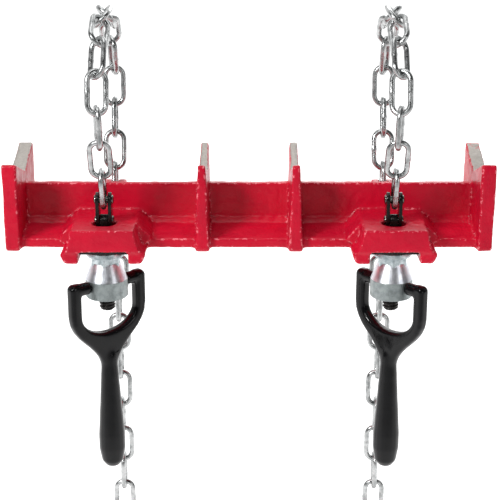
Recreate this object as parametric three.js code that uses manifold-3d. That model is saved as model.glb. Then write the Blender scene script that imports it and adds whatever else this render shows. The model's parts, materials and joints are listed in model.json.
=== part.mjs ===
// Double-chain pipe alignment and welding vise, shown clamped round an absent pipe.
// Millimetres, +Z up. The origin is the clamped pipe's axis at mid-length: +X runs along the
// pipe and the body, -Y is the operator's side with the screws, and the body lies below the pipe.
import * as THREE from 'three';
import { mergeVertices } from 'three/addons/utils/BufferGeometryUtils.js';
import Module from 'manifold-3d';

const wasm = await Module();
wasm.setup();

// ---------------------------------------------------------------- driving dimensions

const PIPE_RADIUS = 84.15; // nominal 6 inch pipe, 168.3 outside diameter
const STATION_X = 169; // chain stations, left and right of the middle
const GAP = 0.3; // running gap between separate pieces
const CUT_MARGIN = 5; // how far a cutting solid runs past what it cuts
const OVERLAP = 1; // how far the joined solids of one piece run into each other

// Cast body
const END_PLATE_X = 278;
const MID_PLATE_X = 55;
const END_PLATE_THICK = 17;
const MID_PLATE_FOOT = 17;
const MID_PLATE_FOOT_TOP_Z = -167;
const MID_PLATE_THICK = 15;
const MID_PLATE_TOP = 9.5;
const MID_PLATE_TOP_Z = -64;
const PLATE_DEPTH = 63; // half-depth of a saddle plate
const PLATE_FOOT_Z = -173.5;
const V_SLOPE = THREE.MathUtils.degToRad(20);
const V_APEX_Z = -PIPE_RADIUS / Math.cos(V_SLOPE);
const PLATE_CORNER = 7;
const PLATE_FOOT_CHAMFER = 3;
const WEB_HALF = 5;
const WEB_TOP_Z = -104;
const FLANGE_BOTTOM_Z = -171;
const FLANGE_EDGE_Z = -159.8;
const FLANGE_ROOT_Z = -152;
const FLANGE_DEPTH = 53;
const FILLET = 7;

// Screw boss, feet and thrust plate
const SCREW_Y = -62;
const BOSS_FRONT_Y = -96;
const BOSS_TOP_Z = -137;
const BOSS_BOTTOM_Z = -164;
const BOSS_TOP_HALF = 37;
const BOSS_SHOULDER_HALF = 38;
const BOSS_SHOULDER_Z = -146;
const BOSS_BOTTOM_HALF = 43;
const BOSS_SKIRT_HALF = 54;
const BOSS_SKIRT_TOP_HALF = 52;
const BOSS_SKIRT_Y = -64;
const SCREW_HOLE = 10.5;
const COUNTERBORE = 14;
const COUNTERBORE_Z = -146;
const FOOT_BOTTOM_Z = -178.5;
const FOOT_FRONT_Y = -94;
const FOOT_BACK_Y = -32;
const FOOT_OUTER = 50;
const FOOT_OUTER_LOW = 46.5;
const FOOT_CHAMFER = 3;
const PLATE_HALF = 28.5; // thrust plate, half-width
const PLATE_FRONT_Y = -85;
const PLATE_BACK_Y = -38;
const THRUST_THICK = 5;

// Screw, clevis link and pins
const SCREW_RADIUS = 9.5;
const SCREW_END_Z = -244;
const SCREW_CHAMFER = 2;
const TONGUE_HALF = 4.75;
const TONGUE_RADIUS = 8;
const TONGUE_ROOT_Z = -152;
const LOWER_PIN_Z = -134;
const UPPER_PIN_Z = -109;
const PIN_RADIUS = 4;
const PIN_HEAD_RADIUS = 5.4;
const PIN_HEAD = 2.3;
const LINK_PLATE_INNER = 5.2;
const LINK_PLATE_THICK = 4;
const LINK_PLATE_RADIUS = 8.5;
const LINK_PLATE_WAIST = 7.5; // half-width between the eyes

// Nut
const NUT_TOP_Z = BOSS_BOTTOM_Z - THRUST_THICK - 2 * GAP;
const NUT_FLANGE_RADIUS = 22.5;
const NUT_FLANGE_Z = -176.7;
const NUT_NECK_RADIUS = 16.6;
const NUT_HEX_RADIUS = 18.6; // across corners, halved
const NUT_HEX_Z = -194;
const CONE_TOP_Z = -184;
const CONE_BOTTOM_Z = -205;
const NUT_RADIUS = 25;
const NUT_BOTTOM_Z = -227;
const NUT_BORE = SCREW_RADIUS + GAP;
const NUT_CHAMFER = 1.2;

// Yoke handle
const TRUNNION_Z = -212;
const TRUNNION_RADIUS = 5;
const TRUNNION_TIP = 17.5; // distance of a trunnion pin's end from the screw's axis
const TRUNNION_HOLE_END = 16.5;
const TRUNNION_SHOULDER = 0.8; // play between the nut and a trunnion's boss
const TRUNNION_BOSS_RADIUS = 7.8;
const ARM_INNER = 38.8;
const ARM_OUTER = 53.2;
const ARM_THICK = 14.5;
const ARM_TOP_Z = -204;
const ARM_CHAMFER = 4;
const YOKE_STRAIGHT_Z = -246.5;
const YOKE_INNER_Z = -271.5;
const YOKE_BEND_Z = -244.5; // outside: straight above, and two pulls of the curve into the neck
const YOKE_PULL_Z = -275.5;
const CROTCH_PULL = 16.5;
const CROTCH_PULL_Z = -287.5;
const YOKE_BEVEL = 3.8;
const NECK_Z = -313;
const NECK_RADIUS = 10.5;
const PADDLE_RADIUS = 16.3;
const HANDLE_END_Z = -451;
const PADDLE_PROFILE = [ // radius and height, from the grip's end up into the yoke
  [0, HANDLE_END_Z], [8.5, -449], [13.5, -442], [PADDLE_RADIUS, -425], [PADDLE_RADIUS, -407],
  [13.6, -368], [11.4, -335], [NECK_RADIUS, NECK_Z], [NECK_RADIUS, -303], [6, -293], [0, -289],
];

// Chain
const WIRE = 6.5;
const LINK_PITCH = 40.5; // a link's inside length
const LINK_WIDTH = 29; // outside
const CHAIN_RADIUS = 97.5; // centreline over the pipe
const WIRE_SIDES = 6;
const LINK_STATIONS = 10;
const WRAP_LINKS = 11;
const WRAP_BITE = 0.25; // neighbouring links of the wrap press into each other by this much
const PIN_CLEARANCE = 1; // play of the first link on the upper pin
const REAR_LINKS = 3;
const TAIL_LINKS = 11;
const REAR_HOOK_Y = 62;

// Rear hooks
const PRONG_INNER = 4;
const PRONG_OUTER = 14;
const PRONG_THICK = 14;
const PRONG_REACH = 76;
const SLOT_ROOT_Y = 45;
const HOOK_GUSSET_Y = 40;
const HOOK_GUSSET_INSET = 2; // the gusset is this much narrower than the arm on each side
const HOOK_GUSSET_LOW_Y = 34;
const HOOK_GUSSET_LOW_Z = -156;
const HOOK_RIB_RISE = 10;
const HOOK_GAP = 0.4; // between the prongs' underside and the hooked link's shoulder

const STATIONS = [
  { side: 'left', x: -STATION_X, yaw: THREE.MathUtils.degToRad(41), twist: 1 },
  { side: 'right', x: STATION_X, yaw: THREE.MathUtils.degToRad(-48), twist: -1 },
];

// ---------------------------------------------------------------- materials

const finish = (color, roughness, metalness) =>
  new THREE.MeshStandardMaterial({ color, roughness, metalness });
const RED_PAINT = finish(0xc81430, 0.4, 0.0);
const ZINC = finish(0xaab2ba, 0.35, 0.9);
const BRIGHT_ZINC = finish(0xc8ccd2, 0.25, 1.0);
const BLACK_OXIDE = finish(0x1d1e20, 0.45, 0.6);
const BLACK_GLOSS = finish(0x0c0c0e, 0.25, 0.1);

// ---------------------------------------------------------------- solid helpers

function toSolid(geometry) {
  const bare = geometry.index ? geometry.toNonIndexed() : geometry.clone();
  bare.deleteAttribute('normal');
  bare.deleteAttribute('uv');
  const merged = mergeVertices(bare, 1e-4);
  const vertProperties = new Float32Array(merged.attributes.position.array);
  const triVerts = new Uint32Array(merged.index.array);
  return new wasm.Manifold(new wasm.Mesh({ numProp: 3, vertProperties, triVerts }));
}

function toGeometry(solid) {
  const mesh = solid.getMesh();
  const geometry = new THREE.BufferGeometry();
  geometry.setAttribute('position', new THREE.BufferAttribute(mesh.vertProperties, 3));
  geometry.setIndex(new THREE.BufferAttribute(mesh.triVerts, 1));
  return geometry;
}

const join = (...geometries) => geometries.map(toSolid).reduce((a, b) => a.add(b));

function outline(points) {
  const shape = new THREE.Shape();
  points.forEach(([x, y], i) => (i ? shape.lineTo(x, y) : shape.moveTo(x, y)));
  return shape;
}

const extrude = (shape, depth) =>
  new THREE.ExtrudeGeometry(shape, { depth, curveSegments: 6, bevelEnabled: false });

// A shape drawn in Y and Z, extruded along X between two places.
function alongX(shape, x0, x1) {
  const geometry = extrude(shape, x1 - x0);
  const turn = new THREE.Matrix4().makeBasis(
    new THREE.Vector3(0, 1, 0), new THREE.Vector3(0, 0, 1), new THREE.Vector3(1, 0, 0));
  return geometry.applyMatrix4(turn).translate(x0, 0, 0);
}

// A shape drawn in X and Z, extruded along Y between two places.
function alongY(shape, y0, y1) {
  return extrude(shape, y1 - y0).rotateX(Math.PI / 2).translate(0, y1, 0);
}

function box(x0, x1, y0, y1, z0, z1) {
  return new THREE.BoxGeometry(x1 - x0, y1 - y0, z1 - z0)
    .translate((x0 + x1) / 2, (y0 + y1) / 2, (z0 + z1) / 2);
}

// A round bar along Z or X, between two places on that axis.
function barZ(radius, z0, z1, segments = 24) {
  return new THREE.CylinderGeometry(radius, radius, z1 - z0, segments)
    .rotateX(Math.PI / 2).translate(0, 0, (z0 + z1) / 2);
}

function barX(radius, x0, x1, segments = 16) {
  return new THREE.CylinderGeometry(radius, radius, x1 - x0, segments)
    .rotateZ(Math.PI / 2).translate((x0 + x1) / 2, 0, 0);
}

// A turned shape about Z; the profile's [radius, z] points start and end on the axis, bottom first.
function turned(profile, segments) {
  const points = profile.map(([r, z]) => new THREE.Vector2(r, z));
  return new THREE.LatheGeometry(points, segments).rotateX(Math.PI / 2);
}

// ---------------------------------------------------------------- cast body

function saddleOutline() {
  const tipZ = V_APEX_Z + PLATE_DEPTH * Math.tan(V_SLOPE);
  const along = PLATE_CORNER * Math.cos(V_SLOPE);
  const rise = PLATE_CORNER * Math.sin(V_SLOPE);
  const shape = new THREE.Shape();
  shape.moveTo(0, V_APEX_Z);
  shape.lineTo(-PLATE_DEPTH + along, tipZ - rise);
  shape.quadraticCurveTo(-PLATE_DEPTH, tipZ, -PLATE_DEPTH, tipZ - PLATE_CORNER);
  shape.lineTo(-PLATE_DEPTH, PLATE_FOOT_Z + PLATE_FOOT_CHAMFER);
  shape.lineTo(-PLATE_DEPTH + PLATE_FOOT_CHAMFER, PLATE_FOOT_Z);
  shape.lineTo(PLATE_DEPTH - PLATE_FOOT_CHAMFER, PLATE_FOOT_Z);
  shape.lineTo(PLATE_DEPTH, PLATE_FOOT_Z + PLATE_FOOT_CHAMFER);
  shape.lineTo(PLATE_DEPTH, tipZ - PLATE_CORNER);
  shape.quadraticCurveTo(PLATE_DEPTH, tipZ, PLATE_DEPTH - along, tipZ - rise);
  shape.lineTo(0, V_APEX_Z);
  return shape;
}

function endPlate(side) {
  const x = side * END_PLATE_X;
  return toSolid(alongX(saddleOutline(), x - END_PLATE_THICK / 2, x + END_PLATE_THICK / 2));
}

function midPlate(side) {
  const plate = toSolid(alongX(saddleOutline(), -MID_PLATE_FOOT, MID_PLATE_FOOT));
  const half = [
    [MID_PLATE_FOOT / 2, PLATE_FOOT_Z - CUT_MARGIN], [MID_PLATE_FOOT / 2, MID_PLATE_FOOT_TOP_Z],
    [MID_PLATE_THICK / 2, FLANGE_EDGE_Z], [MID_PLATE_TOP / 2, MID_PLATE_TOP_Z],
  ];
  const taper = outline([...half, ...half.map(([x, z]) => [-x, z]).reverse()]);
  const wedge = toSolid(alongY(taper, -PLATE_DEPTH - CUT_MARGIN, PLATE_DEPTH + CUT_MARGIN));
  return plate.intersect(wedge).translate([side * MID_PLATE_X, 0, 0]);
}

function webAndFlange() {
  const half = [
    [FLANGE_DEPTH, FLANGE_BOTTOM_Z], [FLANGE_DEPTH, FLANGE_EDGE_Z],
    [WEB_HALF + FILLET, FLANGE_ROOT_Z], [WEB_HALF, FLANGE_ROOT_Z + FILLET], [WEB_HALF, WEB_TOP_Z],
  ];
  const mirrored = half.map(([y, z]) => [-y, z]).reverse();
  return toSolid(alongX(outline([...half, ...mirrored]), -END_PLATE_X, END_PLATE_X));
}

function bossBlock() {
  const block = outline([
    [-BOSS_BOTTOM_HALF, BOSS_BOTTOM_Z], [BOSS_BOTTOM_HALF, BOSS_BOTTOM_Z],
    [BOSS_SHOULDER_HALF, BOSS_SHOULDER_Z], [BOSS_TOP_HALF, BOSS_TOP_Z],
    [-BOSS_TOP_HALF, BOSS_TOP_Z], [-BOSS_SHOULDER_HALF, BOSS_SHOULDER_Z],
  ]);
  const skirt = outline([
    [-BOSS_BOTTOM_HALF, BOSS_BOTTOM_Z], [BOSS_BOTTOM_HALF, BOSS_BOTTOM_Z],
    [BOSS_SKIRT_HALF, FLANGE_EDGE_Z], [BOSS_SKIRT_TOP_HALF, FLANGE_ROOT_Z],
    [BOSS_TOP_HALF, BOSS_TOP_Z], [-BOSS_TOP_HALF, BOSS_TOP_Z],
    [-BOSS_SKIRT_TOP_HALF, FLANGE_ROOT_Z], [-BOSS_SKIRT_HALF, FLANGE_EDGE_Z],
  ]);
  return join(alongY(block, BOSS_FRONT_Y, 0), alongY(skirt, BOSS_SKIRT_Y, 0));
}

function bossFeet() {
  const foot = outline([
    [PLATE_HALF + GAP, FOOT_BOTTOM_Z], [FOOT_OUTER_LOW - FOOT_CHAMFER, FOOT_BOTTOM_Z],
    [FOOT_OUTER_LOW, FOOT_BOTTOM_Z + FOOT_CHAMFER], [FOOT_OUTER, BOSS_BOTTOM_Z - FOOT_CHAMFER],
    [BOSS_BOTTOM_HALF, BOSS_BOTTOM_Z + FOOT_CHAMFER], [PLATE_HALF + GAP, BOSS_BOTTOM_Z + FOOT_CHAMFER],
  ]);
  const right = toSolid(alongY(foot, FOOT_FRONT_Y, FOOT_BACK_Y));
  return right.add(right.mirror([1, 0, 0]));
}

function hookSolid(undersideZ) {
  const arm = box(-PRONG_OUTER, PRONG_OUTER, 0, PRONG_REACH, undersideZ, undersideZ + PRONG_THICK);
  const gusset = outline([
    [0, HOOK_GUSSET_LOW_Z], [HOOK_GUSSET_LOW_Y, HOOK_GUSSET_LOW_Z],
    [HOOK_GUSSET_Y, undersideZ + OVERLAP], [HOOK_GUSSET_Y, undersideZ + PRONG_THICK],
    [0, undersideZ + PRONG_THICK + HOOK_RIB_RISE],
  ]);
  const slot = box(-PRONG_INNER, PRONG_INNER, SLOT_ROOT_Y, PRONG_REACH + CUT_MARGIN,
    undersideZ - CUT_MARGIN, undersideZ + PRONG_THICK + CUT_MARGIN);
  const gussetHalf = PRONG_OUTER - HOOK_GUSSET_INSET;
  return join(arm, alongX(gusset, -gussetHalf, gussetHalf)).subtract(toSolid(slot));
}

function viseBody(hookUndersideZ) {
  let body = webAndFlange();
  for (const side of [-1, 1]) {
    body = body.add(endPlate(side)).add(midPlate(side));
    const x = side * STATION_X;
    const pocket = box(-PLATE_HALF - GAP, PLATE_HALF + GAP, BOSS_FRONT_Y - CUT_MARGIN,
      PLATE_BACK_Y + GAP, FOOT_BOTTOM_Z - CUT_MARGIN, BOSS_BOTTOM_Z);
    const openZ = BOSS_TOP_Z + CUT_MARGIN;
    const hole = barZ(SCREW_HOLE, FOOT_BOTTOM_Z, openZ).translate(0, SCREW_Y, 0);
    const bore = barZ(COUNTERBORE, COUNTERBORE_Z, openZ).translate(0, SCREW_Y, 0);
    body = body
      .add(bossBlock().add(bossFeet()).translate([x, 0, 0]))
      .add(hookSolid(hookUndersideZ).translate([x, 0, 0]))
      .subtract(join(pocket, hole, bore).translate([x, 0, 0]));
  }
  return toGeometry(body);
}

// ---------------------------------------------------------------- screw, clevis, nut, handle

function thrustPlate() {
  const topZ = BOSS_BOTTOM_Z - GAP;
  const plate = box(-PLATE_HALF, PLATE_HALF, PLATE_FRONT_Y, PLATE_BACK_Y, topZ - THRUST_THICK, topZ)
    .translate(0, -SCREW_Y, 0);
  const hole = barZ(SCREW_HOLE, topZ - THRUST_THICK - CUT_MARGIN, topZ + CUT_MARGIN);
  return toGeometry(toSolid(plate).subtract(toSolid(hole)));
}

function pinHole(z) {
  const reach = LINK_PLATE_INNER + LINK_PLATE_THICK + CUT_MARGIN;
  return barX(PIN_RADIUS + GAP, -reach, reach).translate(0, 0, z);
}

function chainScrew() {
  const shank = turned([
    [0, SCREW_END_Z], [SCREW_RADIUS - SCREW_CHAMFER, SCREW_END_Z],
    [SCREW_RADIUS, SCREW_END_Z + SCREW_CHAMFER],
    [SCREW_RADIUS, TONGUE_ROOT_Z], [0, TONGUE_ROOT_Z],
  ], 24);
  const neck = box(-TONGUE_HALF, TONGUE_HALF, -TONGUE_RADIUS, TONGUE_RADIUS,
    TONGUE_ROOT_Z - OVERLAP, LOWER_PIN_Z);
  const eye = barX(TONGUE_RADIUS, -TONGUE_HALF, TONGUE_HALF, 20).translate(0, 0, LOWER_PIN_Z);
  return toGeometry(join(shank, neck, eye).subtract(toSolid(pinHole(LOWER_PIN_Z))));
}

function linkPlate(side) {
  const inner = side * LINK_PLATE_INNER;
  const outer = side * (LINK_PLATE_INNER + LINK_PLATE_THICK);
  const [x0, x1] = [Math.min(inner, outer), Math.max(inner, outer)];
  const eyes = [LOWER_PIN_Z, UPPER_PIN_Z].map((z) =>
    barX(LINK_PLATE_RADIUS, x0, x1, 20).translate(0, 0, z));
  const waist = box(x0, x1, -LINK_PLATE_WAIST, LINK_PLATE_WAIST, LOWER_PIN_Z, UPPER_PIN_Z);
  const holes = join(pinHole(LOWER_PIN_Z), pinHole(UPPER_PIN_Z));
  return toGeometry(join(...eyes, waist).subtract(holes));
}

function pin(z) {
  const headX = LINK_PLATE_INNER + LINK_PLATE_THICK + GAP;
  const shank = barX(PIN_RADIUS, -headX - OVERLAP, headX + OVERLAP);
  const heads = [-1, 1].map((side) => {
    const [x0, x1] = [side * headX, side * (headX + PIN_HEAD)].sort((a, b) => a - b);
    return barX(PIN_HEAD_RADIUS, x0, x1);
  });
  return toGeometry(join(shank, ...heads).translate([0, 0, z]));
}

function nut(yaw) {
  const profile = [
    [0, NUT_BOTTOM_Z], [NUT_RADIUS - NUT_CHAMFER, NUT_BOTTOM_Z],
    [NUT_RADIUS, NUT_BOTTOM_Z + NUT_CHAMFER], [NUT_RADIUS, CONE_BOTTOM_Z],
    [NUT_NECK_RADIUS, CONE_TOP_Z], [NUT_NECK_RADIUS, NUT_FLANGE_Z],
    [NUT_FLANGE_RADIUS, NUT_FLANGE_Z], [NUT_FLANGE_RADIUS, NUT_TOP_Z - NUT_CHAMFER],
    [NUT_FLANGE_RADIUS - NUT_CHAMFER, NUT_TOP_Z], [0, NUT_TOP_Z],
  ];
  const hex = barZ(NUT_HEX_RADIUS, NUT_HEX_Z, NUT_FLANGE_Z + OVERLAP, 6);
  const bore = barZ(NUT_BORE, NUT_BOTTOM_Z - CUT_MARGIN, NUT_TOP_Z + CUT_MARGIN);
  const holes = [-1, 1].map((side) => {
    const ends = [side * TRUNNION_HOLE_END, side * (NUT_RADIUS + CUT_MARGIN)].sort((a, b) => a - b);
    return barX(TRUNNION_RADIUS + GAP, ...ends).translate(0, 0, TRUNNION_Z).rotateZ(yaw);
  });
  return toGeometry(join(turned(profile, 36), hex).subtract(join(bore, ...holes)));
}

function yokeOutline() {
  const shape = new THREE.Shape();
  shape.moveTo(ARM_INNER, ARM_TOP_Z);
  shape.lineTo(ARM_OUTER - ARM_CHAMFER, ARM_TOP_Z);
  shape.lineTo(ARM_OUTER, ARM_TOP_Z - ARM_CHAMFER);
  shape.lineTo(ARM_OUTER, YOKE_BEND_Z);
  shape.bezierCurveTo(ARM_OUTER, YOKE_PULL_Z, CROTCH_PULL, CROTCH_PULL_Z, NECK_RADIUS, NECK_Z);
  shape.lineTo(-NECK_RADIUS, NECK_Z);
  shape.bezierCurveTo(-CROTCH_PULL, CROTCH_PULL_Z, -ARM_OUTER, YOKE_PULL_Z, -ARM_OUTER, YOKE_BEND_Z);
  shape.lineTo(-ARM_OUTER, ARM_TOP_Z - ARM_CHAMFER);
  shape.lineTo(-ARM_OUTER + ARM_CHAMFER, ARM_TOP_Z);
  shape.lineTo(-ARM_INNER, ARM_TOP_Z);
  shape.lineTo(-ARM_INNER, YOKE_STRAIGHT_Z);
  const innerDrop = YOKE_STRAIGHT_Z - YOKE_INNER_Z;
  shape.absellipse(0, YOKE_STRAIGHT_Z, ARM_INNER, innerDrop, Math.PI, 2 * Math.PI);
  shape.lineTo(ARM_INNER, ARM_TOP_Z);
  return shape;
}

function handle() {
  const yoke = new THREE.ExtrudeGeometry(yokeOutline(), {
    depth: ARM_THICK - 2 * YOKE_BEVEL, curveSegments: 8, bevelEnabled: true,
    bevelThickness: YOKE_BEVEL, bevelSize: YOKE_BEVEL, bevelOffset: -YOKE_BEVEL, bevelSegments: 2,
  }).translate(0, 0, -ARM_THICK / 2 + YOKE_BEVEL).rotateX(Math.PI / 2);
  const paddle = turned(PADDLE_PROFILE, 16);
  const trunnions = [-1, 1].flatMap((side) => {
    const ends = (a, b) => [side * a, side * b].sort((p, q) => p - q);
    const bossEnds = ends(NUT_RADIUS + TRUNNION_SHOULDER, ARM_INNER + YOKE_BEVEL);
    const boss = barX(TRUNNION_BOSS_RADIUS, ...bossEnds);
    const tip = barX(TRUNNION_RADIUS, ...ends(TRUNNION_TIP, ARM_INNER));
    return [boss.translate(0, 0, TRUNNION_Z), tip.translate(0, 0, TRUNNION_Z)];
  });
  return toGeometry(join(yoke, paddle, ...trunnions));
}

// ---------------------------------------------------------------- chain

// One link in the X-Z plane with its length along Z: a ring whose halves are drawn apart.
function linkGeometry() {
  const bend = (LINK_WIDTH - WIRE) / 2 / Math.cos(Math.PI / LINK_STATIONS);
  const shift = (LINK_PITCH + WIRE) / 2 - bend;
  const ring = new THREE.TorusGeometry(bend, WIRE / 2, WIRE_SIDES, LINK_STATIONS);
  ring.rotateZ(Math.PI / LINK_STATIONS);
  const place = ring.attributes.position;
  for (let i = 0; i < place.count; i += 1) {
    place.setY(i, place.getY(i) + Math.sign(place.getY(i)) * shift);
  }
  return ring.rotateX(Math.PI / 2);
}

// The chain's centreline from the first link's inner end, as points in Y and Z at a length along it:
// straight from the upper pin, over the pipe, then free.
const pinPlace = new THREE.Vector2(SCREW_Y, UPPER_PIN_Z);
const pinAngle = Math.atan2(UPPER_PIN_Z, SCREW_Y) + 2 * Math.PI;
const tangentAngle = pinAngle - Math.acos(CHAIN_RADIUS / pinPlace.length());
const onPipe = (angle) =>
  new THREE.Vector2(Math.cos(angle), Math.sin(angle)).multiplyScalar(CHAIN_RADIUS);
const firstDirection = onPipe(tangentAngle).sub(pinPlace).normalize();
const chainStart = pinPlace.clone().addScaledVector(firstDirection, -PIN_RADIUS - PIN_CLEARANCE);
const straightLength = onPipe(tangentAngle).sub(chainStart).length();

function chainPoint(length) {
  if (length < straightLength) return chainStart.clone().addScaledVector(firstDirection, length);
  return onPipe(tangentAngle - (length - straightLength) / CHAIN_RADIUS);
}

// The next place along the centreline that is one chord away.
function stepAlong(length, chord) {
  const from = chainPoint(length);
  let [low, high] = [length, length + 2 * chord];
  for (let i = 0; i < 40; i += 1) {
    const middle = (low + high) / 2;
    if (chainPoint(middle).distanceTo(from) < chord) low = middle;
    else high = middle;
  }
  return (low + high) / 2;
}

// Roll of link n (1 at the pin) about its own length: links alternate by a right angle, and the
// whole chain twists to 45 degrees over the pipe and on to 90 at the back.
function linkRoll(n) {
  const rise = THREE.MathUtils.clamp((n - 2) / 3, 0, 1);
  const fall = THREE.MathUtils.clamp((n - 8) / 4, 0, 1);
  return THREE.MathUtils.degToRad(90 * n + 45 * rise + 45 * fall);
}

// Sets a link between two places in the Y-Z plane, rolled about its length.
function placedLink(centre, direction, roll) {
  const tilt = Math.atan2(direction.x, direction.y);
  return linkGeometry().rotateZ(roll).rotateX(-tilt).translate(0, centre.x, centre.y);
}

const wrapEnds = [0];
for (let n = 1; n <= WRAP_LINKS; n += 1) {
  wrapEnds.push(stepAlong(wrapEnds[n - 1], LINK_PITCH + (n === 1 ? WRAP_BITE / 2 : WRAP_BITE)));
}

function chainWrap(twist) {
  const links = wrapEnds.slice(1).map((end, i) => {
    const [from, to] = [chainPoint(wrapEnds[i]), chainPoint(end)];
    const direction = to.clone().sub(from).normalize();
    const centre = i ? from.clone().add(to).multiplyScalar(0.5)
      : from.clone().addScaledVector(direction, LINK_PITCH / 2);
    return placedLink(centre, direction, twist * linkRoll(i + 1));
  });
  return toGeometry(join(...links));
}

// The rear run hangs from the last link of the wrap and leads straight to the hook.
const looseStep = LINK_PITCH - GAP;
const rearTop = chainPoint(wrapEnds[WRAP_LINKS]);
const rearDrop = Math.sqrt((REAR_LINKS * looseStep) ** 2 - (rearTop.x - REAR_HOOK_Y) ** 2);
const hookPoint = new THREE.Vector2(REAR_HOOK_Y, rearTop.y - rearDrop);
const rearDirection = hookPoint.clone().sub(rearTop).normalize();
const hookLinkZ = hookPoint.y - looseStep / 2 + GAP;
const shoulderZ = hookLinkZ + (LINK_PITCH + WIRE - LINK_WIDTH + WIRE) / 2
  + Math.sqrt((LINK_WIDTH / 2) ** 2 - PRONG_INNER ** 2);

function rearLink(n, twist) {
  const centre = rearTop.clone().addScaledVector(rearDirection, (n - 0.5) * looseStep - GAP);
  return placedLink(centre, rearDirection, twist * linkRoll(WRAP_LINKS + n));
}

// Links that hang straight down below the hook; number 0 is the crosswise link under the prongs.
function hangingLink(n) {
  const roll = n % 2 ? Math.PI / 2 : 0;
  return linkGeometry().rotateZ(roll).translate(0, REAR_HOOK_Y, hookLinkZ - n * looseStep);
}

// ---------------------------------------------------------------- assembly

const vise = new THREE.Group();
vise.name = 'pipe_welding_vise';

function addMesh(parent, name, geometry, material) {
  const mesh = new THREE.Mesh(geometry, material);
  mesh.name = name;
  parent.add(mesh);
  return mesh;
}

addMesh(vise, 'vise_body', viseBody(shoulderZ + HOOK_GAP), RED_PAINT);

for (const { side, x, yaw, twist } of STATIONS) {
  const onScrew = new THREE.Group();
  onScrew.position.set(x, SCREW_Y, 0);
  addMesh(onScrew, `${side}_thrust_plate`, thrustPlate(), BLACK_OXIDE);
  addMesh(onScrew, `${side}_nut`, nut(yaw), ZINC);
  addMesh(onScrew, `${side}_handle`, handle(), BLACK_GLOSS).rotation.z = yaw;
  addMesh(onScrew, `${side}_chain_screw`, chainScrew(), BLACK_OXIDE);
  addMesh(onScrew, `${side}_link_plate_outer`, linkPlate(Math.sign(x)), BLACK_OXIDE);
  addMesh(onScrew, `${side}_link_plate_inner`, linkPlate(-Math.sign(x)), BLACK_OXIDE);
  addMesh(onScrew, `${side}_lower_pin`, pin(LOWER_PIN_Z), BLACK_OXIDE);
  addMesh(onScrew, `${side}_upper_pin`, pin(UPPER_PIN_Z), BLACK_OXIDE);
  vise.add(onScrew);

  const onChain = new THREE.Group();
  onChain.position.set(x, 0, 0);
  addMesh(onChain, `${side}_chain_wrap`, chainWrap(twist), BRIGHT_ZINC);
  for (let n = 1; n <= REAR_LINKS; n += 1) {
    addMesh(onChain, `${side}_rear_link_${n}`, rearLink(n, twist), BRIGHT_ZINC);
  }
  addMesh(onChain, `${side}_hook_link`, hangingLink(0), BRIGHT_ZINC);
  for (let n = 1; n <= TAIL_LINKS; n += 1) {
    addMesh(onChain, `${side}_tail_link_${String(n).padStart(2, '0')}`, hangingLink(n), BRIGHT_ZINC);
  }
  vise.add(onChain);
}

export default vise;
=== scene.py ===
"""Looks of a double-chain pipe welding vise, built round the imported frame.

Lengths are metres, in the frame's own axes: X along the pipe, Y away from the viewer, Z up.
"""
import json
import math

import bmesh
import bpy
import numpy as np
from mathutils import Matrix, Vector, noise


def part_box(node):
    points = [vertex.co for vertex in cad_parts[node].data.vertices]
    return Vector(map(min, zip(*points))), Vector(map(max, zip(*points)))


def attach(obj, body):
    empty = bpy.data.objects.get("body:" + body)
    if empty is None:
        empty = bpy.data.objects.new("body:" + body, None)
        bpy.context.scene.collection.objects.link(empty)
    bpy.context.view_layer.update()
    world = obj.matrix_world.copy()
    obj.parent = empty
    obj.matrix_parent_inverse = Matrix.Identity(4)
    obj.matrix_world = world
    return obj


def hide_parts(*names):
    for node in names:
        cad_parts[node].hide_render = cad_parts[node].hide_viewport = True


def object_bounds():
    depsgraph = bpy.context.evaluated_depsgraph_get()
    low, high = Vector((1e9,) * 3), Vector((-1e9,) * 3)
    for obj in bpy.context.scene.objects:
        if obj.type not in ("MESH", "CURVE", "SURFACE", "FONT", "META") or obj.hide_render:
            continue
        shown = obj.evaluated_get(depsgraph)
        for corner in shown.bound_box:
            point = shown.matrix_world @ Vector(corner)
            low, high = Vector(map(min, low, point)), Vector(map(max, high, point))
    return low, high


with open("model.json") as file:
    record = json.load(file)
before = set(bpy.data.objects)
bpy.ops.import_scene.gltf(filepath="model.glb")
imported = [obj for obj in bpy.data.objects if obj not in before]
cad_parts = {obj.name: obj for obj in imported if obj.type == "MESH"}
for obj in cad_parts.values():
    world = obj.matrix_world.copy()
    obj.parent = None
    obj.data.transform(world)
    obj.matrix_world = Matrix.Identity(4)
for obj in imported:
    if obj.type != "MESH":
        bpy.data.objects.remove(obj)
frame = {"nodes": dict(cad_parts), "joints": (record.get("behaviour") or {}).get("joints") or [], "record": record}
CAD_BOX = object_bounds()
NODES = frame["nodes"]

MM = 0.001
SIDES = ("left", "right")
TWIST = {"left": 1, "right": -1}  # the two chains twist opposite ways
V_SLOPE = math.radians(20)  # rise of each V face away from the middle

# Chain: the same driving sizes as the solids.
WIRE = 6.5 * MM
PITCH = 40.5 * MM
LINK_WIDTH = 29 * MM
CHAIN_RADIUS = 97.5 * MM
WRAP_LINKS = 11
WRAP_STEP = PITCH + 0.25 * MM
WRAP_PITCH = PITCH + 0.5 * MM  # the wrap's links are a touch longer, so that round wires clear each other
PIN_RADIUS = 4 * MM
PIN_CLEARANCE = 1 * MM
REAR_LINKS = 3
TAIL_LINKS = 11

# Screw side
SHARP_EDGE = 0.6 * MM  # bevel of the flat black pieces
HOLE_CLEARANCE = 0.25 * MM
HEX_CORNER = 18.6 * MM
TONGUE_HALF = 4.75 * MM
TONGUE_CLEARANCE = 0.8 * MM  # the tongue's top is this far below the solid's, clear of the first link
CROTCH_Z = -0.300
CROTCH_REACH = 0.028
CROTCH_ROUNDS = 70
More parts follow.
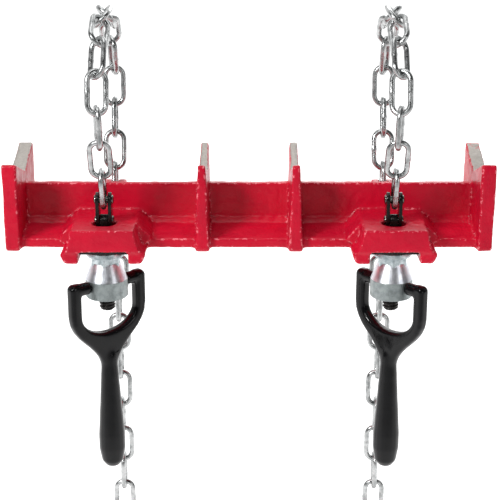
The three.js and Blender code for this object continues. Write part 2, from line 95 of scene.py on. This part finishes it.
# Turns a plate drawn in X-Y so that it stands in Y-Z
STAND_UP = Matrix.Rotation(math.pi / 2, 4, "Z") @ Matrix.Rotation(math.pi / 2, 4, "X")


# ---------------------------------------------------------------- helpers

def centre(node):
    low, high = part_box(node)
    return (low + high) / 2


def joint(name):
    return next(j for j in frame["joints"] if j["name"] == name)


def add_object(name, mesh, material):
    piece = bpy.data.objects.new(name, mesh)
    bpy.context.scene.collection.objects.link(piece)
    mesh.materials.clear()
    for one in material if isinstance(material, (list, tuple)) else [material]:
        mesh.materials.append(one)
    mesh.polygons.foreach_set("use_smooth", [True] * len(mesh.polygons))
    return piece


def mesh_from(name, verts, faces):
    mesh = bpy.data.meshes.new(name)
    mesh.from_pydata([tuple(v) for v in verts], [], faces)
    mesh.validate()
    mesh.update()
    return mesh


def apply_modifiers(piece):
    graph = bpy.context.evaluated_depsgraph_get()
    mesh = bpy.data.meshes.new_from_object(piece.evaluated_get(graph))
    piece.modifiers.clear()
    piece.data = mesh
    return piece


def boolean(piece, mesh, operation):
    """Joins or cuts a closed mesh with another, and applies the result."""
    other = bpy.data.objects.new("cutter", mesh)
    bpy.context.scene.collection.objects.link(other)
    step = piece.modifiers.new("boolean", "BOOLEAN")
    step.operation = operation
    step.object = other
    step.solver = "EXACT"
    apply_modifiers(piece)
    bpy.data.objects.remove(other)
    return piece


def soften_edges(piece, angle=40):
    """Smooth shading that keeps corners sharper than the angle crisp."""
    piece.data.polygons.foreach_set("use_smooth", [True] * len(piece.data.polygons))
    bm = bmesh.new()
    bm.from_mesh(piece.data)
    limit = math.radians(angle)
    for edge in bm.edges:
        edge.smooth = not (len(edge.link_faces) == 2 and edge.calc_face_angle() > limit)
    bm.to_mesh(piece.data)
    bm.free()


def finish_piece(piece, body, slot, *nodes):
    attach(piece, body)
    if nodes:
        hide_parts(*nodes)
    return piece


def remeshed(name, node, voxel, rounds, material):
    """A fine copy of a CAD solid, its edges and inner corners rounded off as on a casting or forging."""
    piece = add_object(name, NODES[node].data.copy(), material)
    step = piece.modifiers.new("remesh", "REMESH")
    step.mode = "VOXEL"
    step.voxel_size = voxel
    soft = piece.modifiers.new("smooth", "SMOOTH")
    soft.factor = 0.5
    soft.iterations = rounds
    apply_modifiers(piece)
    piece.data.materials.clear()
    piece.data.materials.append(material)
    piece.data.polygons.foreach_set("use_smooth", [True] * len(piece.data.polygons))
    return piece


def roughen(piece, layers):
    """Moves each vertex along its normal by a sum of noises: (size, height) pairs in metres."""
    count = len(piece.data.vertices)
    places, normals = np.zeros(count * 3), np.zeros(count * 3)
    piece.data.vertices.foreach_get("co", places)
    piece.data.vertex_normals.foreach_get("vector", normals)
    places, normals = places.reshape(-1, 3), normals.reshape(-1, 3)
    for size, height in layers:
        shift = Vector((height * 9e5, 0, 0))
        heights = [height * noise.noise(Vector(p) / size + shift) for p in places.tolist()]
        places = places + normals * np.array(heights)[:, None]
    piece.data.vertices.foreach_set("co", places.ravel())
    piece.data.update()


def ring_surface(rows, columns, radius, heights, bore=None):
    """A closed turned mesh about Z: radius(angle, height) outside, and a round bore or two flat ends."""
    verts, faces = [], []
    for z in heights:
        for k in range(columns):
            a = 2 * math.pi * k / columns
            r = radius(a, z)
            verts.append((r * math.cos(a), r * math.sin(a), z))
    for i in range(rows - 1):
        for k in range(columns):
            n = (k + 1) % columns
            faces.append((i * columns + k, i * columns + n, (i + 1) * columns + n, (i + 1) * columns + k))
    last = (rows - 1) * columns
    if bore is None:
        faces.append(tuple(reversed(range(columns))))
        faces.append(tuple(range(last, last + columns)))
        return verts, faces
    base = len(verts)
    for z in (heights[0], heights[-1]):
        for k in range(columns):
            a = 2 * math.pi * k / columns
            verts.append((bore * math.cos(a), bore * math.sin(a), z))
    for k in range(columns):
        n = (k + 1) % columns
        faces.append((base + n, base + k, base + columns + k, base + columns + n))
        faces.append((n, k, base + k, base + n))
        faces.append((last + k, last + n, base + columns + n, base + columns + k))
    return verts, faces


def profile_radius(points):
    """Radius as a function of height, straight between (height, radius) points listed by rising height."""
    heights, radii = zip(*points)
    return lambda z: float(np.interp(z, heights, radii))


def outline_plate(name, loops, thickness, bevel, material):
    """A flat plate in X-Y with holes. The first loop is its outline, and its edges are bevelled."""
    curve = bpy.data.curves.new(name, "CURVE")
    curve.dimensions = "2D"
    curve.fill_mode = "BOTH"
    curve.extrude = thickness / 2 - bevel
    curve.bevel_depth = bevel
    curve.bevel_resolution = 2
    curve.offset = -bevel
    for loop in loops:
        spline = curve.splines.new("POLY")
        spline.points.add(len(loop) - 1)
        for point, (x, y) in zip(spline.points, loop):
            point.co = (x, y, 0, 1)
        spline.use_cyclic_u = True
    holder = bpy.data.objects.new(name + "_curve", curve)
    bpy.context.scene.collection.objects.link(holder)
    graph = bpy.context.evaluated_depsgraph_get()
    mesh = bpy.data.meshes.new_from_object(holder.evaluated_get(graph))
    bpy.data.objects.remove(holder)
    bm = bmesh.new()
    bm.from_mesh(mesh)
    bmesh.ops.remove_doubles(bm, verts=bm.verts, dist=1e-6)
    bmesh.ops.recalc_face_normals(bm, faces=bm.faces)
    bm.to_mesh(mesh)
    bm.free()
    piece = add_object(name, mesh, material)
    soften_edges(piece, 35)
    return piece


def arc(cx, cy, radius, start, end, steps):
    """Points on an arc, angles in degrees."""
    angles = [math.radians(start + (end - start) * i / steps) for i in range(steps + 1)]
    return [(cx + radius * math.cos(a), cy + radius * math.sin(a)) for a in angles]


# ---------------------------------------------------------------- materials

class Nodes:
    """A short way to wire a material's nodes."""

    def __init__(self, name):
        self.material = bpy.data.materials.new(name)
        self.material.use_nodes = True
        self.tree = self.material.node_tree
        self.shader = self.tree.nodes["Principled BSDF"]
        self.place = self.tree.nodes.new("ShaderNodeTexCoord").outputs["Object"]

    def add(self, kind, **settings):
        node = self.tree.nodes.new(kind)
        for key, value in settings.items():
            setattr(node, key, value)
        return node

    def link(self, output, target):
        self.tree.links.new(output, target)

    def put(self, target, value):
        if isinstance(value, (int, float, tuple)):
            target.default_value = value
        else:
            self.link(value, target)

    def noise(self, size, detail=3, rough=0.55, stretch=(1, 1, 1), shift=0):
        move = self.add("ShaderNodeMapping")
        move.inputs["Scale"].default_value = stretch
        move.inputs["Location"].default_value = (shift, shift, shift)
        self.link(self.place, move.inputs["Vector"])
        texture = self.add("ShaderNodeTexNoise")
        texture.inputs["Scale"].default_value = 1 / size
        texture.inputs["Detail"].default_value = detail
        texture.inputs["Roughness"].default_value = rough
        self.link(move.outputs["Vector"], texture.inputs["Vector"])
        return texture.outputs["Fac"]

    def cells(self, size):
        texture = self.add("ShaderNodeTexVoronoi")
        texture.inputs["Scale"].default_value = 1 / size
        self.link(self.place, texture.inputs["Vector"])
        return texture.outputs["Distance"]

    def ramp(self, value, low, high, from_value=0.0, to_value=1.0):
        node = self.add("ShaderNodeMapRange", interpolation_type="SMOOTHSTEP")
        node.inputs["From Min"].default_value = low
        node.inputs["From Max"].default_value = high
        node.inputs["To Min"].default_value = from_value
        node.inputs["To Max"].default_value = to_value
        self.link(value, node.inputs["Value"])
        return node.outputs["Result"]

    def math(self, operation, a, b=0.0):
        node = self.add("ShaderNodeMath", operation=operation)
        self.put(node.inputs[0], a)
        self.put(node.inputs[1], b)
        return node.outputs[0]

    def mix(self, factor, a, b):
        node = self.add("ShaderNodeMix", data_type="RGBA")
        self.put(node.inputs[0], factor)
        self.put(node.inputs[6], a)
        self.put(node.inputs[7], b)
        return node.outputs[2]

    def axis(self, index):
        node = self.add("ShaderNodeSeparateXYZ")
        self.link(self.place, node.inputs[0])
        return node.outputs[index]

    def bump(self, height, strength, distance, under=None):
        node = self.add("ShaderNodeBump")
        node.inputs["Strength"].default_value = strength
        node.inputs["Distance"].default_value = distance
        self.link(height, node.inputs["Height"])
        if under is not None:
            self.link(under, node.inputs["Normal"])
        return node.outputs["Normal"]

    def set(self, **values):
        names = {"color": "Base Color", "metal": "Metallic", "rough": "Roughness", "normal": "Normal",
                 "coat": "Coat Weight", "coat_rough": "Coat Roughness", "specular": "Specular IOR Level",
                 "coat_normal": "Coat Normal"}
        for key, value in values.items():
            self.put(self.shader.inputs[names[key]], value)
        return self.material


def saddle_apex():
    """Height of the bottom of the V faces: a packed seat mount's height, less its rise from the middle."""
    seat = next(m for m in frame["record"]["mounts"] if m["name"].startswith("v_seat"))
    return seat["pos_m"][2] - abs(seat["pos_m"][1]) * math.tan(V_SLOPE)


def red_casting():
    """Glossy red paint over a rough sand casting, bare where the pipe bears on the V faces."""
    n = Nodes("red_casting")
    patches = n.ramp(n.noise(60 * MM, 3), 0.35, 0.65)
    paint = n.mix(patches, (0.56, 0.004, 0.026, 1), (0.47, 0.003, 0.022, 1))
    edges = n.add("ShaderNodeNewGeometry").outputs["Pointiness"]
    bend = n.math("ABSOLUTE", n.math("SUBTRACT", edges, 0.5))
    # painted highlight: pinkish glints on edges and fillets, where the pointiness strays from flat, broken into
    # spots by noise
    highlight_spots = n.ramp(n.noise(3.5 * MM, 4, shift=2.0), 0.54, 0.62)
    painted_highlight = n.math("MULTIPLY", n.ramp(bend, 0.012, 0.035), highlight_spots)
    # painted shade: darker red in the concave corners and fillets
    paint = n.mix(n.ramp(edges, 0.45, 0.49, 0.5, 0), paint, (0.20, 0.002, 0.012, 1))
    paint = n.mix(n.math("MULTIPLY", painted_highlight, 0.7), paint, (0.90, 0.28, 0.32, 1))
    pits = n.ramp(n.cells(5 * MM), 0.0, 0.28)
    paint = n.mix(n.math("MULTIPLY", n.math("SUBTRACT", 1.0, pits), 0.25), paint, (0.30, 0.004, 0.016, 1))
    # how far a point is above the V faces' plane, so the skin of those faces shows bare iron
    slant = n.math("MULTIPLY", n.math("ABSOLUTE", n.axis(1)), math.tan(V_SLOPE))
    above = n.math("SUBTRACT", n.axis(2), slant)
    ragged = n.math("ADD", above, n.math("MULTIPLY", n.noise(4 * MM, 4), 1.6 * MM))
    apex = saddle_apex()
    bare = n.ramp(ragged, apex - 0.4 * MM, apex + 0.3 * MM)
    iron = n.mix(n.noise(3 * MM, 4), (0.30, 0.28, 0.26, 1), (0.52, 0.48, 0.44, 1))
    color = n.mix(bare, paint, iron)
    rough = n.ramp(n.noise(14 * MM, 4), 0.3, 0.7, 0.30, 0.48)
    rough = n.math("MAXIMUM", rough, n.math("MULTIPLY", bare, 0.5))
    coarse = n.bump(n.noise(7 * MM, 3), 0.55, 1.2 * MM)
    fine = n.bump(n.noise(2.2 * MM, 3, 0.6), 0.55, 0.5 * MM, coarse)
    return n.set(color=color, rough=rough, metal=n.math("MULTIPLY", bare, 0.8), normal=fine, specular=0.12,
                 coat=0.2, coat_rough=0.12, coat_normal=fine)


def zinc(name, base, dull, rough_low, rough_high, grain, grain_height):
    """Zinc-plated steel, with clouding in its colour and a fine machined or tumbled grain."""
    n = Nodes(name)
    cloud = n.ramp(n.noise(9 * MM, 4), 0.35, 0.7)
    grime = n.ramp(n.noise(2.5 * MM, 4, 0.7, shift=3.0), 0.52, 0.75)
    color = n.mix(cloud, base, dull)
    edges = n.add("ShaderNodeNewGeometry").outputs["Pointiness"]
    # grime specks, and painted shade darkening the concave corners
    grime_and_crevice_shade = n.math("MAXIMUM", n.math("MULTIPLY", grime, 0.3), n.ramp(edges, 0.40, 0.49, 0.9, 0))
    color = n.mix(grime_and_crevice_shade, color, tuple(c * 0.3 for c in dull[:3]) + (1,))
    rough = n.ramp(n.noise(5 * MM, 3, shift=7.0), 0.3, 0.7, rough_low, rough_high)
    normal = n.bump(grain(n), 0.35, grain_height)
    return n.set(color=color, rough=rough, metal=1.0, normal=normal)


def tumbled(n):
    return n.noise(1.2 * MM, 3)


def turned_lines(n):
    return n.noise(0.5 * MM, 2, 0.5, stretch=(0.03, 0.03, 1))


def blasted(n):
    return n.cells(1.1 * MM)


def black_steel(name, rough_low, rough_high, metal, lift, dark, light, specular):
    """Black oxide or enamel, with faint grey on its corners, both rubbing wear and a painted highlight."""
    n = Nodes(name)
    edges = n.add("ShaderNodeNewGeometry").outputs["Pointiness"]
    # faint grey on convex corners: rubbing wear and a painted highlight of the shiny edges
    rub_wear_and_edge_highlight = n.math("MULTIPLY", n.ramp(edges, 0.53, 0.62), n.ramp(n.noise(6 * MM, 4), 0.45, 0.6))
    base = n.mix(n.noise(12 * MM, 3), dark, light)
    color = n.mix(n.math("MULTIPLY", rub_wear_and_edge_highlight, lift), base, (0.30, 0.29, 0.28, 1))
    rough = n.ramp(n.noise(8 * MM, 4), 0.3, 0.7, rough_low, rough_high)
    normal = n.bump(n.noise(3 * MM, 3), 0.25, 0.25 * MM)
    return n.set(color=color, rough=rough, metal=metal, normal=normal, specular=specular)


RED = red_casting()
CHAIN_ZINC = zinc(
    "chain_zinc", (0.50, 0.51, 0.51, 1), (0.26, 0.27, 0.27, 1), 0.22, 0.38, tumbled, 0.05 * MM)
CONE_ZINC = zinc(
    "nut_cone_zinc", (0.80, 0.82, 0.86, 1), (0.66, 0.69, 0.75, 1), 0.28, 0.38, turned_lines, 0.06 * MM)
NUT_ZINC = zinc(
    "nut_barrel_zinc", (0.36, 0.40, 0.40, 1), (0.25, 0.28, 0.28, 1), 0.42, 0.58, blasted, 0.30 * MM)
HEX_ZINC = zinc(
    "nut_hex_zinc", (0.62, 0.68, 0.70, 1), (0.30, 0.36, 0.38, 1), 0.26, 0.42, tumbled, 0.25 * MM)
OXIDE = black_steel(
    "black_oxide", 0.16, 0.32, metal=0.85, lift=1.0,
    dark=(0.008, 0.007, 0.007, 1), light=(0.040, 0.036, 0.034, 1), specular=0.5)
PIN_STEEL = black_steel(
    "pin_steel", 0.14, 0.26, metal=1.0, lift=1.0,
    dark=(0.10, 0.10, 0.09, 1), light=(0.24, 0.25, 0.23, 1), specular=0.5)
ENAMEL = black_steel(
    "black_enamel", 0.10, 0.20, metal=0.0, lift=0.15,
    dark=(0.002, 0.002, 0.002, 1), light=(0.004, 0.004, 0.005, 1), specular=0.22)


# ---------------------------------------------------------------- cast body

def cast_body():
    piece = remeshed("vise_casting", "vise_body", 1.6 * MM, 9, RED)
    roughen(piece, [(38 * MM, 0.7 * MM), (9 * MM, 0.35 * MM), (3.5 * MM, 0.16 * MM)])
    finish_piece(piece, "root", "red_paint", "vise_body")


# ---------------------------------------------------------------- screw side

def blend_crotch(piece):
    """Melts the grip's neck into the yoke, most at the middle of the crotch and fading away from it."""
    group = piece.vertex_groups.new(name="crotch")
    for vertex in piece.data.vertices:
        weight = 1 - abs(vertex.co.z - CROTCH_Z) / CROTCH_REACH
        if weight > 0:
            group.add([vertex.index], min(1, 2 * weight), "REPLACE")
    soft = piece.modifiers.new("crotch", "SMOOTH")
    soft.factor = 0.5
    soft.iterations = CROTCH_ROUNDS
    soft.vertex_group = group.name
    apply_modifiers(piece)


def handle(side):
    piece = remeshed(f"{side}_yoke_handle", f"{side}_handle", 1.2 * MM, 16, ENAMEL)
    blend_crotch(piece)
    roughen(piece, [(16 * MM, 0.15 * MM)])
    finish_piece(piece, f"{side}_handle_body", "black_enamel", f"{side}_handle")


def nut(side):
    """Flange, hexagon, polished cone and matt barrel, as one turned surface."""
    low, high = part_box(f"{side}_nut")
    top, bottom = high.z, low.z
    barrel = (high.x - low.x) / 2
    flange = 22.5 * MM
    neck = 16.6 * MM
    flange_z = top - 7.1 * MM
    cone_top = flange_z - 7.3 * MM
    cone_low = bottom + 22 * MM
    hex_low = flange_z - 17 * MM
    chamfer = 1.2 * MM
    profile = profile_radius([
        (bottom, barrel - chamfer), (bottom + chamfer, barrel), (cone_low - 0.5 * MM, barrel),
        (cone_low + 0.5 * MM, barrel - 0.3 * MM), (cone_top, neck), (flange_z - 0.3 * MM, neck),
        (flange_z, flange - 0.6 * MM), (flange_z + 0.6 * MM, flange),
        (top - chamfer, flange), (top, flange - chamfer)])

    def radius(angle, z):
        r = profile(z)
        if hex_low < z < flange_z:
            sector = (angle + math.pi / 2 + math.pi / 6) % (math.pi / 3) - math.pi / 6
            flat = HEX_CORNER * math.cos(math.pi / 6) / math.cos(math.pi / 6 - abs(sector))
            r = max(r, min(flat, HEX_CORNER - 0.5 * MM))
        return r

    rows = 150
    heights = [bottom + (top - bottom) * i / (rows - 1) for i in range(rows)]
    verts, faces = ring_surface(rows, 144, radius, heights, bore=9.8 * MM)
    piece = add_object(f"{side}_screw_nut", mesh_from("nut", verts, faces), [NUT_ZINC, CONE_ZINC, HEX_ZINC])
    middle = centre(f"{side}_nut")
    piece.data.transform(Matrix.Translation((middle.x, middle.y, 0)))
    swing = joint(f"{side}_handle_swing")
    for end in (-1, 1):
        drill = round_bar(5.2 * MM, 16.5 * MM, 30 * MM, 40)
        along = Vector(swing["axis"]) * end
        turn = along.to_track_quat("Z", "Y").to_matrix().to_4x4()
        drill.transform(Matrix.Translation(Vector(swing["pos_m"])) @ turn)
        boolean(piece, drill, "DIFFERENCE")
    for polygon in piece.data.polygons:
        z = polygon.center.z
        polygon.material_index = 0 if z < cone_low else 1 if z < cone_top - 1 * MM else 2
        in_hex = (Vector(polygon.center[:2]) - middle.xy).length > profile(z) + 0.15 * MM
        if in_hex and hex_low < z < flange_z:
            polygon.material_index = 2
    soften_edges(piece, 25)
    finish_piece(piece, f"{side}_nut_body", "zinc_plate", f"{side}_nut")


def round_bar(radius, z0, z1, columns):
    verts, faces = ring_surface(2, columns, lambda a, z: radius, [z0, z1])
    return mesh_from("bar", verts, faces)


def chain_screw(side):
    """A threaded rod with a flat tongue for the lower pin."""
    low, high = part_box(f"{side}_chain_screw")
    crest = (high.x - low.x) / 2
    lead = 4 * MM
    depth = 1.3 * MM
    thread_top = -165 * MM
    root_z = -152 * MM
    chamfer = 2.6 * MM

    def radius(angle, z):
        phase = (z / lead - angle / (2 * math.pi)) % 1
        flank = min(1, max(0, abs(phase - 0.5) * 4 - 0.5))
        fade = min(1, max(0, (thread_top - z) / lead))
        end = crest - max(0, chamfer - (z - low.z))
        return min(crest - depth * flank * fade, end)

    rows = 320
    heights = [low.z + (root_z - low.z) * i / (rows - 1) for i in range(rows)]
    verts, faces = ring_surface(rows, 48, radius, heights)
    piece = add_object(f"{side}_threaded_screw", mesh_from("screw", verts, faces), OXIDE)
    middle = centre(f"{side}_chain_screw")
    pin_z = centre(f"{side}_lower_pin").z
    width = high.z - pin_z - TONGUE_CLEARANCE
    outer = arc(0, pin_z, width, 0, 180, 24) + [(-width, root_z - 2 * MM), (width, root_z - 2 * MM)]
    hole = arc(0, pin_z, PIN_RADIUS + HOLE_CLEARANCE, 0, 345, 23)
    tongue = outline_plate("tongue", [outer, hole], 2 * TONGUE_HALF, SHARP_EDGE, OXIDE)
    mesh = tongue.data.copy()
    bpy.data.objects.remove(tongue)
    mesh.transform(STAND_UP)
    boolean(piece, mesh, "UNION")
    piece.data.transform(Matrix.Translation((middle.x, middle.y, 0)))
    soften_edges(piece, 40)
    finish_piece(piece, f"{side}_screw_body", "black_oxide", f"{side}_chain_screw")


def link_plates(side):
    for name in ("outer", "inner"):
        node = f"{side}_link_plate_{name}"
        low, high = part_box(node)
        radius = (high.y - low.y) / 2
        z_low, z_high = low.z + radius, high.z - radius
        ring = arc(0, z_high, radius, 0, 180, 24) + arc(0, z_low, radius, 180, 360, 24)
        holes = [arc(0, z, PIN_RADIUS + HOLE_CLEARANCE, 0, 345, 23) for z in (z_low, z_high)]
        thick = high.x - low.x
        piece = outline_plate(f"{side}_clevis_plate_{name}", [ring] + holes, thick, SHARP_EDGE, OXIDE)
        middle = centre(node)
        piece.data.transform(Matrix.Translation((middle.x, middle.y, 0)) @ STAND_UP)
        finish_piece(piece, f"{side}_clevis_body", "black_oxide", node)


def pins(side):
    """Riveted pins: a shank with a domed head at each end."""
    for name in ("lower", "upper"):
        node = f"{side}_{name}_pin"
        low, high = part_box(node)
        half = (high.x - low.x) / 2
        head = (high.y - low.y) / 2
        inner = 9.5 * MM
        dome = half - inner
        step = 0.01 * MM  # the shoulder under each head is as good as square
        points = [(-inner, PIN_RADIUS), (-inner - step, head), (inner, PIN_RADIUS), (inner + step, head)]
        for i in range(1, 8):
            t = i / 7 * math.pi / 2
            at = inner + 0.4 * MM + (dome - 0.4 * MM) * math.sin(t)
            r = max(0.8 * MM, head * math.cos(t) ** 0.7)
            points += [(at, r), (-at, r)]
        points.sort()
        profile = profile_radius(points)
        heights = [p[0] for p in points]
        verts, faces = ring_surface(len(heights), 40, lambda a, z: profile(z), heights)
        piece = add_object(f"{side}_{name}_rivet_pin", mesh_from("pin", verts, faces), PIN_STEEL)
        piece.data.transform(Matrix.Translation(centre(node)) @ Matrix.Rotation(math.pi / 2, 4, "Y"))
        soften_edges(piece, 40)
        finish_piece(piece, f"{side}_clevis_body", "black_oxide", node)


def thrust_plate(side):
    node = f"{side}_thrust_plate"
    low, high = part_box(node)
    x, y = (high.x - low.x) / 2, (high.y - low.y) / 2
    corner = 2 * MM
    ring = (arc(x - corner, y - corner, corner, 0, 90, 5)
            + arc(corner - x, y - corner, corner, 90, 180, 5)
            + arc(corner - x, corner - y, corner, 180, 270, 5)
            + arc(x - corner, corner - y, corner, 270, 360, 5))
    hole_y = centre(f"{side}_nut").y - centre(node).y
    hole = arc(0, hole_y, 10.5 * MM, 0, 352, 44)
    piece = outline_plate(f"{side}_bearing_plate", [ring, hole], high.z - low.z, SHARP_EDGE, OXIDE)
    piece.data.transform(Matrix.Translation(centre(node)))
    finish_piece(piece, "root", "black_oxide", node)


# ---------------------------------------------------------------- chain

def link_mesh(pitch, seed):
    """One welded link in X-Z, length along Z, with its butt weld's bead halfway down one side."""
    bend = (LINK_WIDTH - WIRE) / 2
    half = (pitch + WIRE) / 2 - bend
    path = []
    for sign in (1, -1):
        for i in range(17):
            a = math.pi * i / 16
            path.append((sign * bend * math.cos(a), sign * (half + bend * math.sin(a))))
        for i in range(1, 12):
            path.append((-sign * bend, sign * half * (1 - i / 6)))
    sides = 14
    count = len(path)
    weld = 1 if seed % 2 else -1
    verts, faces = [], []
    for i, (x, z) in enumerate(path):
        (x0, z0), (x1, z1) = path[i - 1], path[(i + 1) % count]
        out = Vector((z1 - z0, 0, x0 - x1)).normalized()
        at_weld = x * weld > bend * 0.99
        bead = 1 + (0.13 * math.exp(-(z / (2.2 * MM)) ** 2) if at_weld else 0)
        for k in range(sides):
            a = 2 * math.pi * k / sides
            uneven = 1 + 0.012 * noise.noise(Vector((x * 260, z * 260, seed * 3.1 + k)))
            r = WIRE / 2 * bead * uneven
            verts.append(Vector((x, 0, z)) + out * (r * math.cos(a)) + Vector((0, r * math.sin(a), 0)))
    for i in range(count):
        j = (i + 1) % count
        for k in range(sides):
            m = (k + 1) % sides
            faces.append((i * sides + k, i * sides + m, j * sides + m, j * sides + k))
    mesh = mesh_from("link", verts, faces)
    bm = bmesh.new()
    bm.from_mesh(mesh)
    bmesh.ops.recalc_face_normals(bm, faces=bm.faces)
    bm.to_mesh(mesh)
    bm.free()
    return mesh


def link(name, middle, direction, roll, body, nodes, pitch=PITCH, seed=0):
    piece = add_object(name, link_mesh(pitch, seed), CHAIN_ZINC)
    tilt = math.atan2(direction.y, direction.z)
    piece.data.transform(
        Matrix.Translation(middle) @ Matrix.Rotation(-tilt, 4, "X") @ Matrix.Rotation(roll, 4, "Z"))
    finish_piece(piece, body, "chain_zinc", *nodes)


def link_roll(n):
    """Roll of link n about its length: links alternate by a right angle while the chain twists slowly."""
    rise = min(1, max(0, (n - 2) / 3))
    fall = min(1, max(0, (n - 8) / 4))
    return math.radians(90 * n + 45 * rise + 45 * fall)


def chain_line(side):
    """The chain's centreline as a function of length: straight from the upper pin, then over the pipe."""
    pin = centre(f"{side}_upper_pin")
    flat = Vector((0, pin.y, pin.z))
    angle = math.atan2(pin.z, pin.y) + 2 * math.pi - math.acos(CHAIN_RADIUS / flat.length)

    def on_pipe(a):
        return Vector((0, CHAIN_RADIUS * math.cos(a), CHAIN_RADIUS * math.sin(a)))

    heading = (on_pipe(angle) - flat).normalized()
    start = flat - heading * (PIN_RADIUS + PIN_CLEARANCE)
    straight = (on_pipe(angle) - start).length

    def point(length):
        if length < straight:
            return start + heading * length
        return on_pipe(angle - (length - straight) / CHAIN_RADIUS)

    return point


def step_along(point, length, chord):
    """The length at which the line has got one chord away from the given length, by halving."""
    low, high = length, length + 2 * chord
    for _ in range(40):
        middle = (low + high) / 2
        if (point(middle) - point(length)).length < chord:
            low = middle
        else:
            high = middle
    return (low + high) / 2


def wrapped_chain(side):
    point = chain_line(side)
    x = Vector((centre(f"{side}_upper_pin").x, 0, 0))
    length = 0.0
    for n in range(1, WRAP_LINKS + 1):
        chord = WRAP_STEP if n > 1 else (PITCH + WRAP_STEP) / 2
        end = step_along(point, length, chord)
        a, b = point(length), point(end)
        heading = (b - a).normalized()
        middle = (a + b) / 2 if n > 1 else a + heading * (PITCH / 2)
        nodes = [f"{side}_chain_wrap"] if n == 1 else []
        link(f"{side}_chain_link_{n:02d}", x + middle, heading, TWIST[side] * link_roll(n), "root", nodes,
             pitch=WRAP_PITCH if n > 1 else PITCH, seed=n)
        length = end


def loose_chain(side):
    first, last = centre(f"{side}_rear_link_1"), centre(f"{side}_rear_link_{REAR_LINKS}")
    heading = (last - first).normalized()
    body = f"{side}_rear_chain_body"
    for n in range(1, REAR_LINKS + 1):
        node = f"{side}_rear_link_{n}"
        roll = TWIST[side] * link_roll(WRAP_LINKS + n)
        link(f"{side}_rear_run_{n}", centre(node), heading, roll, body, [node], seed=WRAP_LINKS + n)
    up = Vector((0, 0, 1))
    hook_seed = 20
    node = f"{side}_hook_link"
    link(f"{side}_hooked_link", centre(node), up, 0, body, [node], seed=hook_seed)
    for n in range(1, TAIL_LINKS + 1):
        node = f"{side}_tail_link_{n:02d}"
        roll = math.pi / 2 if n % 2 else 0
        body = f"{side}_tail_{n:02d}_body"
        link(f"{side}_free_link_{n:02d}", centre(node), up, roll, body, [node], seed=hook_seed + n)


# ---------------------------------------------------------------- stage, light and camera

def stage():
    """A wide floor that glows white behind the vise and darkens softly in front of it."""
    low = CAD_BOX[0][2]
    bpy.ops.mesh.primitive_plane_add(size=60, location=(0, 0, low - 0.03))
    floor = bpy.context.object
    floor.name = "floor"
    n = Nodes("floor_white")
    n.shader.inputs["Emission Color"].default_value = (1, 1, 1, 1)
    n.put(n.shader.inputs["Emission Strength"], n.ramp(n.axis(1), -1.1, -0.1, 0.14, 1.05))
    floor.data.materials.append(n.set(color=(0.5, 0.5, 0.5, 1), rough=0.9, specular=0.0))


def world_light():
    """A studio that is white behind the vise and dark in front of it, where the metal mirrors it."""
    world = bpy.data.worlds.new("studio")
    bpy.context.scene.world = world
    world.use_nodes = True
    tree = world.node_tree
    background = tree.nodes["Background"]
    background.inputs["Color"].default_value = (1, 1, 1, 1)
    place = tree.nodes.new("ShaderNodeTexCoord").outputs["Generated"]
    split = tree.nodes.new("ShaderNodeSeparateXYZ")
    tree.links.new(place, split.inputs[0])
    fade = tree.nodes.new("ShaderNodeMapRange")
    fade.interpolation_type = "SMOOTHSTEP"
    for key, value in (("From Min", -0.25), ("From Max", 0.75), ("To Min", 0.05), ("To Max", 1.0)):
        fade.inputs[key].default_value = value
    tree.links.new(split.outputs[1], fade.inputs["Value"])
    tree.links.new(fade.outputs["Result"], background.inputs["Strength"])


def area_light(name, place, target, size, power):
    """A square light of a side in metres and a power in watts, turned to its target."""
    data = bpy.data.lights.new(name, "AREA")
    data.size = size
    data.energy = power
    lamp = bpy.data.objects.new(name, data)
    bpy.context.scene.collection.objects.link(lamp)
    lamp.location = place
    lamp.rotation_euler = (Vector(target) - Vector(place)).to_track_quat("-Z", "Y").to_euler()


def lights():
    middle = (0, 0, -0.2)
    area_light("key", (-2.0, -2.1, 1.5), middle, 0.8, 84)
    area_light("fill", (2.2, -2.0, 0.4), middle, 1.0, 10)
    area_light("front", (-0.5, -3.0, 2.4), middle, 0.9, 22)
    area_light("top", (-0.3, 0.2, 2.4), middle, 1.6, 20)
    area_light("back", (0.8, 3.0, 1.2), middle, 2.0, 25)


def camera():
    """A long lens from in front and a little above, with no shift."""
    data = bpy.data.cameras.new("camera")
    data.lens = 91.2
    data.sensor_width = 36
    eye = bpy.data.objects.new("camera", data)
    bpy.context.scene.collection.objects.link(eye)
    eye.location = (0.0012, -1.485, 0.278)
    eye.rotation_euler = (math.radians(72.5), 0, 0)
    bpy.context.scene.camera = eye


bpy.context.scene.view_settings.view_transform = "Standard"
camera()
stage()
world_light()
lights()
cast_body()
for side in SIDES:
    thrust_plate(side)
    nut(side)
    handle(side)
    chain_screw(side)
    link_plates(side)
    pins(side)
    wrapped_chain(side)
    loose_chain(side)
